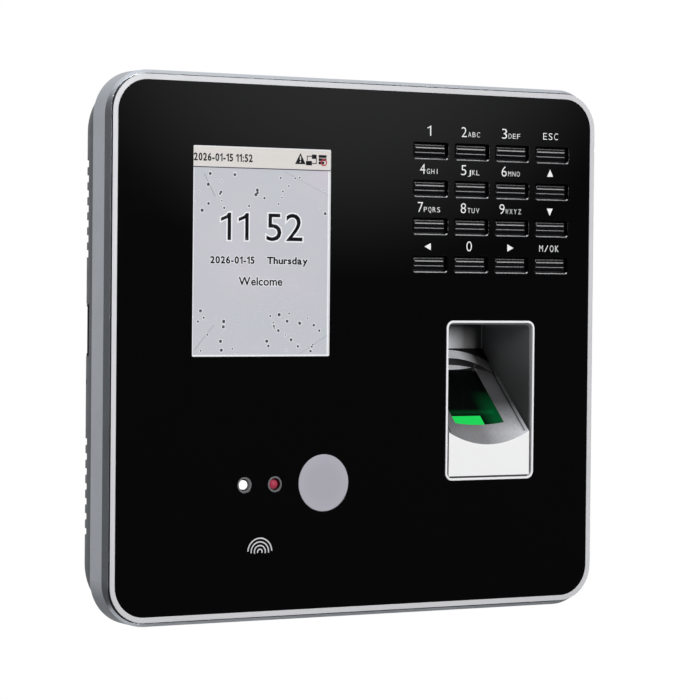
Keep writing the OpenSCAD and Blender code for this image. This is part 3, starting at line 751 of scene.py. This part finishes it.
LINE_WIDE = 0.1 * MM
SHOWN_WORDS = [               # text, box, weight, gap and width of the pale edge
    ("11", (0.205, 0.315, 0.405, 0.445), 0.0, 0.20, 0.035),
    ("52", (0.535, 0.315, 0.80, 0.445), 0.0, 0.12, 0.035),
    ("2026-01-15", (0.13, 0.522, 0.45, 0.556), 0.035, 0.08, 0.05),
    ("Thursday", (0.54, 0.522, 0.84, 0.556), 0.035, 0.05, 0.05),
    ("Welcome", (0.335, 0.62, 0.655, 0.66), 0.022, 0.05, 0.05),
]

# Status signs: a place on the picture, then plates by their middle and half size in mm around it.
WARNING_AT = (0.78, 0.050)
WARNING_CORNERS = [(-1.65, -1.3), (1.65, -1.3), (0.0, 1.75)]
WARNING_CUTS = [(0.0, -0.675, 0.17, 0.175), (0.0, 0.325, 0.17, 0.525)]
BOXES_AT = (0.865, 0.050)
BOXES = [(-0.9, -0.95, 0.95, 0.6), (0.75, 0.85, 0.75, 0.6)]
LINKS = [(1.4, -0.35, 0.12, 0.75), (0.8, -1.0, 0.7, 0.12), (-0.75, 0.95, 0.8, 0.12), (-1.45, 0.4, 0.12, 0.65)]
STACK_AT = (0.945, 0.050)
STACK = [(0.0, 1.0, 1.25, 0.38), (0.0, 0.1, 1.25, 0.38), (-0.35, -0.8, 0.9, 0.38)]
STOP_AT = (0.955, 0.062)
STOP_OUTER, STOP_INNER = 1.0 * MM, 0.65 * MM


def lit(name, colour, other=None):
    """What a display shows: light of one colour, or of two that drift, with the faint grid of its pixels."""
    s = Shader(name)
    s.set(Base_Color=BLACK, Roughness=0.4, Specular_IOR_Level=0.1, Emission_Strength=1.0)
    grid = s.math("ADD", *(s.math("PINGPONG", s.axis(way), PIXEL / 2) for way in "XZ"))
    drift = s.mix(s.span(s.noise(40, 2.0), 0.0, 1.0), colour + (1.0,), (other or colour) + (1.0,))
    return s.set(Emission_Color=s.scaled(drift, s.span(grid, 1.03, 0.97, 0.0, PIXEL))).material


def on_screen(u, v):
    return LENS_LOW.x + u * (LENS_HIGH.x - LENS_LOW.x), LENS_HIGH.z - v * (LENS_HIGH.z - LENS_LOW.z)


def screen_box(u0, v0, u1, v1):
    """Left, bottom, right and top of a box of the picture."""
    left, top = on_screen(u0, v0)
    right, bottom = on_screen(u1, v1)
    return left, bottom, right, top


def layer(number):
    """Where the back of a layer of the picture is; the next number lies on it, with hardly a gap."""
    return DISPLAY_FACE - 0.01 * MM - number * (LAYER + 0.002 * MM)


def screen_plate(bm, box, number):
    left, bottom, right, top = screen_box(*box)
    flat_shape(bm, [(left, bottom), (right, bottom), (right, top), (left, top)], layer(number))


def screen_sheet(name, box, number, material):
    bm = bmesh.new()
    screen_plate(bm, box, number)
    piece(name, bm, material)


def screen_web(ink):
    """A loose web: dots with pale edges above and below the words, a few lines, and the status bar's edge."""
    web = bmesh.new()
    halo = bmesh.new()
    for band, count in WEB_BANDS:
        for _ in range(count):
            x, z = on_screen(random.uniform(*WEB_SIDES), random.uniform(*band))
            size = random.uniform(*DOT_RADII) * MM
            flat_shape(web, disc(x, z, size), layer(3))
            flat_shape(halo, disc(x, z, size + HALO), layer(2))
    for u0, v0, u1, v1 in WEB_LINES:
        (x0, z0), (x1, z1) = on_screen(u0, v0), on_screen(u1, v1)
        flat_shape(web, [(x0, z0), (x0 + LINE_WIDE, z0), (x1 + LINE_WIDE, z1), (x1, z1)], layer(2))
    screen_plate(web, STATUS_LINE_BOX, 2)
    piece("screen_web", web, ink["grey"])
    piece("screen_web_halo", halo, ink["white"])


def screen_words(name, number, material, swelling):
    """Clock, date, day and greeting, or with swelling 1 the pale edges behind them."""
    bm = bmesh.new()
    for text, box, weight, gap, edge in SHOWN_WORDS:
        lettering(bm, text, screen_box(*box), layer(number), weight, edge * swelling, gap)
    piece(name, bm, material)


def status_sign(bm, place, plates, number):
    x, z = on_screen(*place)
    for dx, dz, half_w, half_h in plates:
        flat_shape(bm, rectangle(x + dx * MM, z + dz * MM, half_w * MM, half_h * MM), layer(number))


def screen_status(ink):
    """Date and time, a warning triangle, a pair of linked boxes, and a stack with a small red ring on it."""
    bm = bmesh.new()
    lettering(bm, STATUS_TEXT, screen_box(*STATUS_TEXT_BOX), layer(2), STATUS_WEIGHT)
    x, z = on_screen(*WARNING_AT)
    flat_shape(bm, [(x + dx * MM, z + dz * MM) for dx, dz in WARNING_CORNERS], layer(2))
    status_sign(bm, BOXES_AT, BOXES + LINKS, 2)
    status_sign(bm, STACK_AT, STACK, 2)
    piece("screen_status_marks", bm, ink["dark"])
    bm = bmesh.new()
    status_sign(bm, WARNING_AT, WARNING_CUTS, 3)
    piece("screen_status_cuts", bm, ink["cream"])
    bm = bmesh.new()
    ring(bm, *on_screen(*STOP_AT), STOP_OUTER, STOP_INNER, layer(3))
    piece("screen_status_sign", bm, ink["red"])


def screen_picture():
    """The idle picture, layer by layer."""
    ink = {name: lit("shown_" + name, *colours) for name, colours in SHOWN.items()}
    screen_sheet("screen_border", WHOLE_BOX, 0, ink["white"])
    screen_sheet("screen_ground", GROUND_BOX, 1, ink["ground"])
    screen_sheet("screen_status_bar", STATUS_BOX, 1, ink["cream"])
    screen_web(ink)
    screen_words("screen_word_edges", 2, ink["white"], 1.0)
    screen_words("screen_words", 3, ink["dark"], 0.0)
    screen_status(ink)


# ---------- camera, light and stage ----------

# The view of the photograph: from a little to the left, with a long lens.
VIEW_TARGET = Vector((11.16, 0.0, -1.10)) * MM
VIEW_TURN = math.radians(-29.953)
VIEW_RISE = math.radians(1.242)
VIEW_ROLL = math.radians(0.533)
VIEW_DISTANCE = 835.6 * MM
VIEW_LENS = 152.66
SHEEN_AT = (30, 6.5)          # turn and rise of the round sheen in the room, in degrees
SHEEN_RADIUS = 6.5
HAND_HEIGHT = 1.2             # metres from the floor to the terminal


def toward(turn, rise):
    """Unit vector from the object: turn 0 is straight in front, negative to the left."""
    return Vector((math.sin(turn) * math.cos(rise), -math.cos(turn) * math.cos(rise), math.sin(rise)))


def make_camera():
    data = bpy.data.cameras.new("camera")
    data.lens = VIEW_LENS
    data.sensor_width = 36.0
    data.sensor_fit = "HORIZONTAL"
    data.clip_start = 0.05
    data.clip_end = 20.0
    camera = bpy.data.objects.new("camera", data)
    back = toward(VIEW_TURN, VIEW_RISE)
    camera.location = VIEW_TARGET + back * VIEW_DISTANCE
    camera.rotation_mode = "QUATERNION"
    camera.rotation_quaternion = (-back).to_track_quat("-Z", "Y") @ Quaternion((0, 0, 1), VIEW_ROLL)
    bpy.context.scene.collection.objects.link(camera)
    bpy.context.scene.camera = camera


def softbox(name, turn, rise, distance, size, power):
    """A square lamp that looks at the object, with its place given in degrees and metres."""
    data = bpy.data.lights.new(name, "AREA")
    data.shape = "RECTANGLE"
    data.size = data.size_y = size
    data.energy = power
    lamp = bpy.data.objects.new(name, data)
    away = toward(math.radians(turn), math.radians(rise))
    lamp.location = away * distance
    lamp.rotation_mode = "QUATERNION"
    lamp.rotation_quaternion = away.to_track_quat("Z", "Y")
    bpy.context.scene.collection.objects.link(lamp)


def studio_light():
    softbox("main_light", -5, 38, 1.5, 0.5, 6.2)
    softbox("front_light", 12, 8, 1.5, 0.3, 9.2)
    softbox("edge_light", 40, 40, 1.3, 0.36, 4.2)
    softbox("side_light", -50, 15, 1.3, 0.25, 1.2)


def room_light(n):
    """How bright the room is each way: bright behind and above, dark in front but for one round sheen."""
    place = n.add("ShaderNodeTexCoord").outputs["Generated"]
    split = n.add("ShaderNodeSeparateXYZ", Vector=place)
    behind = n.span(split.outputs["Y"], 0.03, 0.60, 0.10, 0.75, "SMOOTHSTEP")
    below = n.span(split.outputs["Z"], 0.35, 1.0, -0.5, 0.05, "SMOOTHSTEP")
    above = n.span(split.outputs["Z"], 0.0, 0.85, 0.45, 0.9, "SMOOTHSTEP")
    facing = n.along(place, toward(*map(math.radians, SHEEN_AT)))
    sheen = n.span(facing, 0.0, 0.55, math.cos(math.radians(SHEEN_RADIUS)), 1.0, "SMOOTHSTEP")
    return n.math("ADD", n.math("ADD", n.math("MULTIPLY", behind, below), above), sheen)


def studio_world():
    """The camera sees a white backdrop; the object reflects and is lit by a room."""
    world = bpy.data.worlds.new("studio")
    bpy.context.scene.world = world
    world.use_nodes = True
    world.node_tree.nodes.clear()
    n = Nodes(world.node_tree)
    room = n.add("ShaderNodeBackground", Color=(0.97, 0.98, 1.0, 1.0), Strength=room_light(n))
    backdrop = n.add("ShaderNodeBackground", Color=(1.0, 1.0, 1.0, 1.0))
    choose = n.add("ShaderNodeMixShader")
    n.put(choose.inputs[0], n.add("ShaderNodeLightPath").outputs["Is Camera Ray"])
    n.put(choose.inputs[1], room.outputs[0])
    n.put(choose.inputs[2], backdrop.outputs[0])
    n.add("ShaderNodeOutputWorld", Surface=choose.outputs[0])


def make_floor():
    """A round pale floor, as far below as under a terminal at hand height."""
    bm = bmesh.new()
    bmesh.ops.create_circle(bm, cap_ends=True, segments=64, radius=1.0,
                            matrix=Matrix.Translation((0, 0, -HAND_HEIGHT)))
    mesh = bpy.data.meshes.new("floor")
    bm.to_mesh(mesh)
    bm.free()
    paint = moulded("floor_paint", (0.86, 0.86, 0.86), 0.8, grain=40, depth=0.2 * MM, edge=0.0)
    mesh.materials.append(paint.material)
    floor = bpy.data.objects.new("floor", mesh)
    bpy.context.scene.collection.objects.link(floor)


def printed(name, colour, rough):
    """Ink on the face."""
    return moulded(name, colour, rough, grain=5000, depth=0.001 * MM, edge=0.0).material


# light grey metal, used for the painted highlight along the key openings
def polished(name, colour):
    return moulded(name, colour, 0.22, grain=3000, depth=0.0005 * MM, edge=0.0, Metallic=1.0).material


make_camera()
studio_world()
studio_light()
make_floor()
finish_nodes()
legends(printed("legend_white", (0.86, 0.86, 0.86), 0.5))
reader_mark(printed("mark_grey", (0.60, 0.60, 0.61), 0.45))
# painted highlight lines along the lower edges of the key openings
key_opening_edges(polished("edge_highlight_paint", (0.7, 0.7, 0.71)))
screen_picture()
bpy.context.scene.view_settings.view_transform = "Standard"
